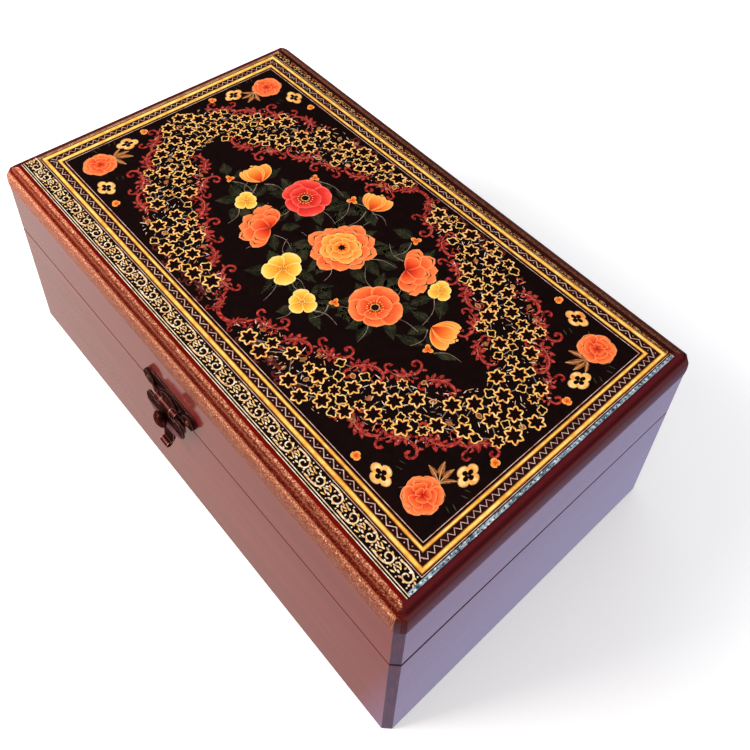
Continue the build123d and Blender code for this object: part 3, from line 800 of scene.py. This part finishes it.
def drawLeafScrolls():
    look = leafScroll
    teeth, veins = toothLines(look["teeth"])
    veins.append(bent(*((x, y + 0.3, width * 0.2) for x, y, width in look["stem"][:7])))
    body = strokeMesh("leaf scroll", [bent(*look["stem"]), bent(*look["curl"])] + teeth, 2)
    vein = strokeMesh("leaf scroll veins", veins, 2)
    tuft = strokeMesh("leaf tuft", toothLines(look["tuft"])[0], 2)
    bodies, tufts = [], []
    for quarter, lift, offset in look["lifts"]:
        for x, y, angle in alongOutline(quarter, look["pitch"] / 2)[1::2]:
            px, py = x - sin(angle) * offset, y + cos(angle) * offset
            tufts += [(mx * px, my * py, chance(0, tau), look["tuftSize"]) for mx, my in mirrors]
        for order, (x, y, angle) in enumerate(alongOutline(quarter, look["pitch"])):
            flip = 1 if order % 2 else -1
            size = look["size"] * chance(0.9, 1.08)
            turn = angle + chance(-0.2, 0.2)
            px, py = x - sin(angle) * lift, y + cos(angle) * lift
            for mx, my in mirrors:
                heading = atan2(sin(turn) * my, cos(turn) * mx)
                hand = flip * mx * my
                for fit in (size * share for share in look["fits"]):
                    if withinBorder(mx * px, my * py, heading, fit, hand):
                        bodies.append((mx * px, my * py, heading, fit, fit * hand, 0))
                        break
    dimmer = [(mx * x, my * look["dimY"], 0.1 * mx, 0.8 * mx, -0.6 * my, 0)
              for x in look["dimX"] for mx, my in mirrors]
    arches = [bent(*((x, my * y, width) for x, y, width in look["arch"])) for my in (1, -1)]
    strokes("arches", arches, "crimson", 2, 4)
    stamp("leaf_scrolls", body, bodies, "crimson", 3)
    stamp("leaf_scroll_veins", vein, bodies, "crimsonLight", 5)
    stamp("leaf_tufts", tuft, tufts, "crimson", 3)
    stamp("dim_scrolls", body, dimmer, "maroonLight", 1)


drawLeafScrolls()
print("leaf scrolls drawn")

# Star flowers: a yellow outline of six lobes with an orange inner edge round a black heart
# Scattered sets are (tries, gap, clear, gap to the places taken)
# The sizes of both sets of stars are (smallest and largest, flattest, lift, more lift)
starFlower = {
    "reach": 3.9, "dip": 0.6, "sharp": 0.9, "steps": 6, "line": 0.64, "inner": 0.5, "innerIn": 0.42,
    "main": (16000, 8.5, (5.4, 4.8), 0), "under": (700, 6.4, (3.6, 3.4), 5),
    "halves": (900, 5.6, (2.6, 2.6), 4.5),
    "sizes": (((0.9, 1.06), 0.9, 12, 6), ((0.62, 0.8), 0.8, 0, 3)),
    "halfLine": 0.56, "halfSizes": (0.7, 0.95), "field": (119.5, 56.3),
}

# A star flower seen from the side: three lobes over a small cup
halfLobes = [
    (0, -2.3), (1.1, -1.9), (1.5, -0.6), (3, 0.1), (2.9, 1.6), (1.5, 1.5), (0.9, 2.9), (-0.9, 2.9),
    (-1.5, 1.5), (-2.9, 1.6), (-3, 0.1), (-1.5, -0.6), (-1.1, -1.9)]


def starOutline(reach, width, lobes=6):
    points = []
    steps, dip = starFlower["steps"], starFlower["dip"]
    for index in range(lobes * steps):
        share = abs(2 * ((index / steps) % 1) - 1)
        radius = reach * (dip + (1 - dip) * share ** starFlower["sharp"])
        angle = tau * index / (lobes * steps)
        points.append((radius * cos(angle), radius * sin(angle), width))
    return points


def inRing(x, y, medallionGap, cornerGap):
    ax, ay = abs(x), abs(y)
    if insideOutline(x, y, medallion) or insideOutline(ax, ay, cornerOutline):
        return False
    return (distanceToLine(ax, ay, medallionQuarter) > medallionGap
            and distanceToLine(ax, ay, cornerQuarter) > cornerGap)


def scatter(taken, tries, gap, clear, takenGap):
    # Clear holds the gaps to the medallion and to the corners
    places = []
    wide, high = starFlower["field"]
    for _ in range(tries):
        x, y = chance(-wide, wide), chance(-high, high)
        if (inRing(x, y, *clear) and all(hypot(x - px, y - py) >= takenGap for px, py in taken)
                and all(hypot(x - px, y - py) > gap for px, py in places)):
            places.append((x, y))
    return places


def sized(spots):
    places = []
    for x, y in spots:
        size = chance(*starFlower["halfSizes"])
        places.append((x, y, chance(0, tau), size))
    return places


def drawStars():
    look = starFlower
    main = scatter([], *look["main"])
    under = scatter(main, *look["under"])
    places = []
    for stars, (sizes, flattest, lift, more) in zip((main, under), look["sizes"]):
        for index, (x, y) in enumerate(stars):
            size = chance(*sizes)
            turn = chance(0, tau)
            places.append((x, y, turn, size, size * chance(flattest, 1), lift + more * (index % 3)))
    halves = scatter(main + under, *look["halves"])
    halfPlaces = sized(halves)
    rim = [(x, y, look["halfLine"]) for x, y in halfLobes]
    stamp("half_flower_hearts", patchMesh("half heart", halfLobes), halfPlaces, "ground", 5)
    stamp("half_flowers", strokeMesh("half flower", [(rim, True, True)], 2), halfPlaces, "star", 7)
    reach = look["reach"]
    outline = strokeMesh("star outline", [(starOutline(reach, look["line"]), True, False)], 1)
    innerPoints = starOutline(reach - look["innerIn"], look["inner"])
    inner = strokeMesh("star inner edge", [(innerPoints, True, False)], 1)
    stamp("star_hearts", patchMesh("star heart", starOutline(reach, 0)), places, "ground", 8)
    stamp("star_inner", inner, places, "starEdge", 9)
    stamp("star_outlines", outline, places, "star", 10)
    print("star flowers:", len(main), "and", len(under))
    return main + under + halves


# Leaves, twigs and dots between the star flowers
mosaic = {
    "lozenge": [(2.1, 0), (1.2, 0.9), (0.5, 1.15), (-0.3, 1.5), (-0.9, 0.9), (-2, 0), (-0.9, -0.8),
                (-0.2, -1.4), (0.6, -0.9), (1.3, -0.8)],
    "rim": [(2, 0, 0.4), (0.5, 1.2, 0.4), (-0.6, 1.2, 0.4), (-1.9, 0, 0.4), (-0.6, -1.1, 0.4),
            (0.6, -1.1, 0.4)],
    "leaves": (1500, 6, (2.2, 2.2), 4.6), "dabs": (9000, 2.3, (1.5, 1.5), 4.3),
    "dots": (6000, 2.7, (1, 1), 4), "bend": 1.8, "dabReach": (0.7, 1.5),
}


def drawMosaic(taken):
    look = mosaic
    leaves = sized(scatter(taken, *look["leaves"]))
    stamp("lozenges", patchMesh("lozenge", look["lozenge"]), leaves, "tan", 4)
    ring = strokeMesh("lozenge rim", [(look["rim"], True, True)], 2)
    stamp("lozenge_rims", ring, leaves[0::2], "tanLight", 5)
    twigs, dabs = [], []
    for x, y in taken:
        close = sorted(taken, key=lambda other: hypot(other[0] - x, other[1] - y))[1:4]
        for ox, oy in close:
            if ox >= x:
                bend = chance(-look["bend"], look["bend"])
                elbow = ((x + ox) / 2 - bend * 0.6, (y + oy) / 2 + bend, 0.46)
                twigs.append(bent((x, y, 0.3), elbow, (ox, oy, 0.3)))
    for x, y in scatter(taken, *look["dabs"]):
        angle, reach = chance(0, tau), chance(*look["dabReach"])
        dx, dy = cos(angle) * reach, sin(angle) * reach
        dabs.append(bent((x - dx, y - dy, 0.12), (x, y, 0.62), (x + dx, y + dy, 0.12)))
    dots = [dotAt(x, y, 0.2, 0.45) for x, y in scatter(taken, *look["dots"])]
    strokes("twigs", twigs, "twig", 2)
    strokes("dabs_pale", dabs[0::3], "cream", 5, 2)
    strokes("dabs_tan", dabs[1::3], "tanLight", 5, 2)
    strokes("dabs_twig", dabs[2::3], "twig", 5, 2)
    strokes("dots", dots, "rose", 6, 1)


drawMosaic(drawStars())
print("star flowers drawn")


# Blooms: rows of petals, each a small grid bent to shape
def addPetal(bm, uvLayer, spec, place, toneShift):
    length, width, notch, fullness = spec
    grid = bmesh.ops.create_grid(bm, x_segments=8, y_segments=10, size=0.5)["verts"]
    spots = {}
    for vert in grid:
        across, along = vert.co.x * 2, vert.co.y + 0.5
        spots[vert] = (across, along)
        swell = sin(pi * min(1, along ** fullness)) ** 0.62 if 0 < along < 1 else 0
        swell = max(swell, 0.12 * (1 - along))
        tip = length * (along - notch * along ** 6 * (1 - abs(across)) ** 1.5)
        vert.co = (across * width / 2 * swell, tip * (1 - 0.1 * across * across * along), 0)
    for face in {face for vert in grid for face in vert.link_faces}:
        for loop in face.loops:
            across, along = spots[loop.vert]
            loop[uvLayer].uv = (across * 0.5 + toneShift, max(along, abs(across) ** 3 * 0.97))
    bmesh.ops.transform(bm, matrix=place, verts=grid)


def bloomMesh(name, rows, spread):
    # A row is (petals, length, width, notch, fullness, turn, offset), the last two nought if left out
    # Rows run from the outside in
    bm = bmesh.new()
    uvLayer = bm.loops.layers.uv.new("petal")
    layer = 0
    for count, length, width, notch, fullness, *rest in rows:
        turn, offset = (*rest, 0, 0)[:2]
        for index in range(count):
            if spread == tau:
                share = index / count
            else:
                share = index / (count - 1) - 0.5 if count > 1 else 0
            angle = turn + spread * share + chance(-0.15, 0.15)
            size = chance(0.86, 1.08)
            place = Matrix.Translation((-sin(angle) * offset, cos(angle) * offset, film * layer))
            addPetal(bm, uvLayer, (length * size, width * size, notch, fullness),
                     place @ Matrix.Rotation(angle, 4, "Z"), chance(0, 5))
            layer += 0.8
    faceUp(bm)
    return meshFrom(bm, name)


bloomRows = {
    "roseOuter": [(6, 9.6, 8.8, 0.12, 1.35, 0.2)],
    "roseInner": [(4, 7.4, 7.6, 0.1, 1.35, 0.7, 0.6), (3, 5, 6.2, 0.05, 1.2, 0.1, 0.9),
                  (3, 3.2, 4.2, 0, 1.1, 0.5, 0.2)],
    "peonyOuter": [(10, 17.4, 9.6, 0.08, 1.5), (9, 14.4, 8.8, 0.08, 1.45, 0.25)],
    "peonyInner": [(8, 11, 7.6, 0.08, 1.4, 0.1), (6, 8, 6.2, 0.06, 1.3, 0.3),
                   (5, 5, 4.4, 0, 1.2)],
    "mallow": [(5, 13, 12.6, 0.12, 1.45, 0.3), (5, 8.6, 8.8, 0.1, 1.35)],
    "five": [(5, 10.4, 9, 0.14, 1.45)], "bud": [(3, 2.3, 1.7, 0, 0.9)],
    "cornerBud": [(3, 2.3, 2.6, 0.1, 1.1), (1, 2, 2.1, 0, 1, 0.9)],
    "open": [(6, 15.5, 7.8, 0.06, 1.35), (5, 12.5, 7.4, 0.05, 1.3),
             (3, 8.8, 6.8, 0.03, 1.2)],
    "closed": [(4, 12.5, 6.2, 0, 1.1), (3, 12.8, 6.6, 0, 1.1),
               (1, 11.2, 6.8, 0, 1.1)],
}
fanSpread = {"open": 2.5, "closed": 0.95}
blooms = {kind: bloomMesh(kind, rows, fanSpread.get(kind, tau)) for kind, rows in bloomRows.items()}
print("bloom patterns ready")

# Corner groups: a rose, two four-petalled flowers, buds, tan leaves and sprays
cornerGroup = {
    "roses": [(112, 48.4)],
    "flowers": [(96.2, 54.2, 0.15), (117.2, 31, 1.35)],
    "buds": [(84.5, 56), (120.2, 20)], "leafRoot": (112.5, 41),
    "leaves": ((196, 8, 4.2, -0.9), (238, 9, 4.8, 0.9), (268, 8, 4, 0.9), (305, 6.5, 3, 0.9)),
    "sprays": ((20, 9), (75, 10.5), (120, 12), (160, 14), (215, 15), (335, 9)),
    "spraySides": (-1.2, 1.4), "rim": (5.2, 4, 0.66, 0.4), "lobes": (5.3, 4.1, 0.66),
    "heart": (2.9, 2.3, 0.42),
}


def lobedOutline(reachX, reachY, dip, width=0, steps=32):
    points = []
    for index in range(steps):
        angle = tau * index / steps
        reach = dip + (1 - dip) * abs(cos(2 * angle)) ** 0.7
        points.append((reachX * reach * cos(angle), reachY * reach * sin(angle), width))
    return points


def drawCorners():
    look = cornerGroup
    roses, buds = (
        [(mx * x, my * y, chance(0, tau), 1) for x, y in look[key] for mx, my in mirrors]
        for key in ("roses", "buds"))
    flowers = [(mx * x, my * y, turn * mx * my, 1) for x, y, turn in look["flowers"] for mx, my in mirrors]
    stamp("corner_rose_rims", blooms["roseOuter"], roses, "flame", 9)
    stamp("corner_rose_hearts", blooms["roseInner"], roses, "flame", 16)
    stamp("corner_buds", blooms["cornerBud"], buds, "orange", 9)
    stamp("corner_flowers", patchMesh("four lobes", lobedOutline(*look["lobes"])), flowers, "butter", 9)
    rim = strokeMesh("four lobe rim", [(lobedOutline(*look["rim"]), True, False)], 1)
    stamp("corner_flower_rims", rim, flowers, "tanLight", 10)
    stamp("corner_hearts", patchMesh("heart", lobedOutline(*look["heart"])), flowers, "ground", 11)
    strokes("corner_pips", [dotAt(x, y, 0.3, 0.7) for x, y, *_ in flowers], "twig", 12)
    leaves, veins, sprays = [], [], []
    rootX, rootY = look["leafRoot"]
    for mx, my in mirrors:
        x, y = mx * rootX, my * rootY
        for angle, reach, width, side in look["leaves"]:
            way = (x, y, cos(radians(angle)) * mx, sin(radians(angle)) * my)
            path = [(x, y, 0.3), beside(*way, reach * 0.5, side, width), beside(*way, reach, 0, 0.2)]
            leaves.append(bent(*path))
            veins.append(bent(*((px, py, 0.3) for px, py, _ in path)))
        for angle, reach in look["sprays"]:
            dx, dy = cos(radians(angle)) * mx, sin(radians(angle)) * my
            for side in look["spraySides"]:
                sx, sy, width = beside(x, y, dx, dy, reach, side, 0.2)
                sprays.append(bent((sx, sy, width), (sx + dx * 1.3, sy + dy * 1.3, 0.6),
                                   (sx + dx * 2.7, sy + dy * 2.4, 0.15)))
    strokes("corner_leaves", leaves, "tan", 4, 6)
    strokes("corner_leaf_veins", veins, "tanLight", 6, 4)
    strokes("corner_sprays", sprays, "leafEdge", 3)


drawCorners()
print("corners drawn")

# Middle spray: a wreath of blooms with dim leaves and tendrils
# Places are (x, y, turn, size); blooms are (name, kind, tone, places, layer)
# Hubs are (places, inner reach, leaves)
bouquet = {
    "peony": [(2, 5, 0.2, 1)], "mallow": [(-33, 12, 0.4, 1.02)],
    "mallowTwo": [(37, -6, 1.2, 1)],
    "open": [(30, 18, -0.9, 1.1), (-28, -12, 2.2, 1.1)],
    "closed": [(-55, 3, 1.35, 1.05), (60, 5, -1.3, 1.05), (-8, 30, 0.35, 1)],
    "five": [(-5, -22, 0.3, 1), (15, -27, 1, 0.72), (48, 21, 0.5, 0.6),
             (-49, -10, 0.9, 0.62)],
    "buds": [(-18, 28, 0.4, 1.5), (20, 33, -0.5, 1.4), (-66, -7, 1.6, 1.3), (67, -4, -1.4, 1.3),
             (24, -17, 2.4, 1.3), (-41, 24, 0.7, 1.3)],
    "blooms": (
        ("peony", "peonyOuter", "flame", "peony", 14), ("peony_heart", "peonyInner", "orange", "peony", 32),
        ("mallow", "mallow", "scarlet", "mallow", 14), ("mallow_two", "mallow", "flame", "mallowTwo", 14),
        ("open", "open", "flame", "open", 12), ("closed", "closed", "orange", "closed", 12),
        ("five", "five", "yellow", "five", 12), ("buds", "bud", "orange", "buds", 12)),
    "hubs": (("peony", 13, 11), ("mallow", 9.5, 8), ("mallowTwo", 9.5, 8), ("open", 6, 8), ("five", 6, 8),
             ("closed", 3, 4), ("buds", 3, 4)),
    "leafLength": (7.5, 13), "leafWidth": (4.6, 7.4), "leafClear": 5, "sideVeins": (0.25, 0.42, 0.6),
    "sideLean": 0.75, "sideReach": 2.2, "pipRings": (0.55, 1),
}


def leafPath(x, y, direction, reach, width, bend):
    way = (x, y, cos(direction), sin(direction))
    return [(x, y, 0.4), beside(*way, reach * 0.3, bend, width),
            beside(*way, reach * 0.65, bend, width * 0.75), beside(*way, reach, 0, 0.15)]


def drawBouquet():
    look = bouquet
    for name, kind, tone, key, layer in look["blooms"]:
        stamp("middle_" + name, blooms[kind], look[key], tone, layer)
    eye = [(x, y, 0, size) for x, y, _, size in look["peony"]]
    stamp("middle_peony_eye", patchMesh("eye", starOutline(1.9, 0, 7)), eye, "maroon", 52)
    leaves, veins, tendrils, pips = [], [], [], []
    for hub, inner, count in look["hubs"]:
        for x, y, index in ((x, y, index) for x, y, *_ in look[hub] for index in range(count)):
            angle = tau * index / count + chance(-0.3, 0.3)
            start = inner * chance(0.6, 1)
            px, py = x + cos(angle) * start, y + sin(angle) * start
            reach = chance(*look["leafLength"])
            path = leafPath(px, py, angle + chance(-0.5, 0.5), reach, chance(*look["leafWidth"]),
                            chance(-1, 1))
            tipX, tipY, _ = path[-1]
            if (not insideOutline(tipX, tipY, medallion)
                    or distanceToLine(abs(tipX), abs(tipY), medallionQuarter) < look["leafClear"]):
                continue
            leaves.append(bent(*path))
            veins.append(bent(*((vx, vy, 0.24) for vx, vy, _ in path)))
            direction = atan2(tipY - py, tipX - px)
            for share in look["sideVeins"]:
                bx, by = px + cos(direction) * reach * share, py + sin(direction) * reach * share
                for lean in (direction - look["sideLean"], direction + look["sideLean"]):
                    tip = (bx + cos(lean) * look["sideReach"], by + sin(lean) * look["sideReach"], 0.1)
                    veins.append(straight((bx, by, 0.2), tip))
            if index % 3 == 0:
                tendrils.append(bent(*leafPath(px, py, angle + 0.3, reach * 1.25, 0.3, 2)))
    mallows = look["mallow"] + look["mallowTwo"]
    centres = [(x, y, 3.4, 16) for x, y, *_ in mallows]
    centres += [(x, y, 2 * size / 0.7, 11) for x, y, _, size in look["five"]]
    for x, y, ring, count in centres:
        for index in range(count):
            for share in look["pipRings"]:
                angle = tau * index / count + share
                pips.append(dotAt(x + ring * share * cos(angle), y + ring * share * sin(angle), 0.22, 0.44))
    cores = [(x, y, 0, size) for x, y, _, size in mallows]
    stamp("mallow_cores", patchMesh("core", starOutline(2.6, 0, 5)), cores, "maroon", 34)
    strokes("middle_leaves", leaves, "leaf", 2, 5)
    strokes("middle_veins", veins, "leafEdge", 3)
    strokes("middle_tendrils", tendrils, "twig", 4, 4)
    strokes("middle_pips", pips, "gold", 36, 1)


drawBouquet()
print("bouquet drawn")
bpy.data.objects.remove(nib)

# Finishes on the solids, by the start of the name
finishes = (
    ("picture_panel", inks["ground"]), ("lid_top_board", mouldingWood), ("base_floor", insideWood),
    ("long_divider", insideWood), ("cross_divider", insideCross), ("base_left", woodAcross),
    ("base_right", woodAcross), ("lid_left", woodAcross), ("lid_right", woodAcross), ("base_", woodAlong),
    ("lid_", woodAlong), ("hasp_knob", knobBronze), ("hasp", haspBronze), ("hinge_pin", pinBronze),
    ("latch_pin", pinBronze), ("latch_nails", giltBronze), ("", bronze))
easedEdges = {
    "parts": ("latch_plate", "hasp", "latch_nails", "catch_plate"),
    "width": 0.00014, "segments": 2, "angle": 35,
}
for name, node in nodes.items():
    node.data.materials.clear()
    node.data.materials.append(next(finish for start, finish in finishes if name.startswith(start)))
    if name in easedEdges["parts"]:
        rounding = node.modifiers.new("eased edges", "BEVEL")
        rounding.width = easedEdges["width"]
        rounding.segments = easedEdges["segments"]
        rounding.limit_method = "ANGLE"
        rounding.angle_limit = radians(easedEdges["angle"])
print("finishes on the solids")

# Studio: lamps are (place, size, power, color)
studio = {
    "floorSize": 6, "floorColor": (0.93, 0.93, 0.94), "floorRough": 0.9, "floorLift": 0.32,
    "mirrorStrength": 1, "mirrorShift": 0.5,
    "floorMirror": [(0.28, (0.74, 0.66, 0.62)), (0.38, (0.64, 0.54, 0.5)), (0.5, (0.56, 0.44, 0.39)),
                    (0.62, (0.46, 0.34, 0.32)), (0.642, (0.53, 0.58, 0.89)), (0.8, (0.46, 0.49, 0.71))],
    "worldLight": 0.62, "worldGloss": 0.03, "lampAim": (0, 0, 0.05),
    "lamps": {
        "key light": ((-0.62, -0.92, 0.86), 0.7, 20, (1, 0.95, 0.9)),
        "cool light": ((0.95, 0.7, 0.62), 0.5, 1.5, (0.62, 0.74, 1)),
    },
}


def makeFloor():
    bm = bmesh.new()
    bmesh.ops.create_grid(bm, x_segments=1, y_segments=1, size=studio["floorSize"] / 2)
    floor = addObject("floor", meshFrom(bm, "floor"))
    material, tree, shader = newMaterial("studio floor")
    ray = addNode(tree, "LightPath").outputs
    feed(tree, shader, {
        "Base Color": studio["floorColor"],
        "Roughness": studio["floorRough"],
        "Emission Color": (1, 1, 1),
        "Emission Strength": calc(tree, "MULTIPLY", ray["Is Camera Ray"], studio["floorLift"]),
    })
    # What the lacquer mirrors: a dim warm floor in front, a cool bright one beyond the right end
    x, _, _ = axes(tree)
    tones = rampColors(tree, calc(tree, "ADD", x, studio["mirrorShift"]), studio["floorMirror"])
    mirror = addNode(tree, "Emission", {"Color": tones, "Strength": studio["mirrorStrength"]})
    blend = addNode(tree, "MixShader", {
        "Fac": ray["Is Glossy Ray"], 1: shader.outputs["BSDF"], 2: mirror.outputs["Emission"]})
    feed(tree, tree.nodes["Material Output"], {"Surface": blend.outputs["Shader"]})
    floor.data.materials.append(material)


def makeWorld():
    # White to the camera, soft light for the box, and nearly dark in reflections
    world = bpy.data.worlds.new("studio")
    world.use_nodes = True
    scene.world = world
    tree = world.node_tree
    ray = addNode(tree, "LightPath").outputs
    lights = {"Factor": ray["Is Glossy Ray"], "A": studio["worldLight"], "B": studio["worldGloss"]}
    light = addNode(tree, "Mix", lights, data_type="FLOAT")
    strength = calc(tree, "MAXIMUM", light.outputs["Result"], ray["Is Camera Ray"])
    feed(tree, tree.nodes["Background"], {"Color": (1, 1, 1), "Strength": strength})


def softLamp(name, place, size, power, color):
    lamp = bpy.data.lights.new(name, "AREA")
    lamp.size, lamp.energy, lamp.color = size, power, color
    holder = addObject(name, lamp)
    holder.location = place
    aim = Vector(studio["lampAim"]) - Vector(place)
    holder.rotation_euler = aim.to_track_quat("-Z", "Y").to_euler()


makeFloor()
makeWorld()
for name, values in studio["lamps"].items():
    softLamp(name, *values)

# Camera, solved from the box's edges in the photograph
view = {
    "place": (0.2184, -0.17653, 0.41845), "forward": (-0.5032, 0.531, -0.6818),
    "rightward": (0.6799, 0.7302, 0.0669), "sensor": 36, "lens": 45.1, "shiftX": -0.0567,
    "shiftY": -0.2637, "clip": (0.01, 50),
}


def makeCamera():
    data = bpy.data.cameras.new("camera")
    camera = addObject("camera", data)
    backward = -Vector(view["forward"]).normalized()
    rightward = Vector(view["rightward"])
    rightward = (rightward - backward * rightward.dot(backward)).normalized()
    turn = Matrix((rightward, backward.cross(rightward), backward)).transposed().to_4x4()
    camera.matrix_world = Matrix.Translation(view["place"]) @ turn
    data.sensor_width = view["sensor"]
    data.lens = view["lens"]
    data.shift_x = view["shiftX"]
    data.shift_y = view["shiftY"]
    data.clip_start, data.clip_end = view["clip"]
    scene.camera = camera


makeCamera()
scene.view_settings.view_transform = "Standard"
print("studio and camera ready")
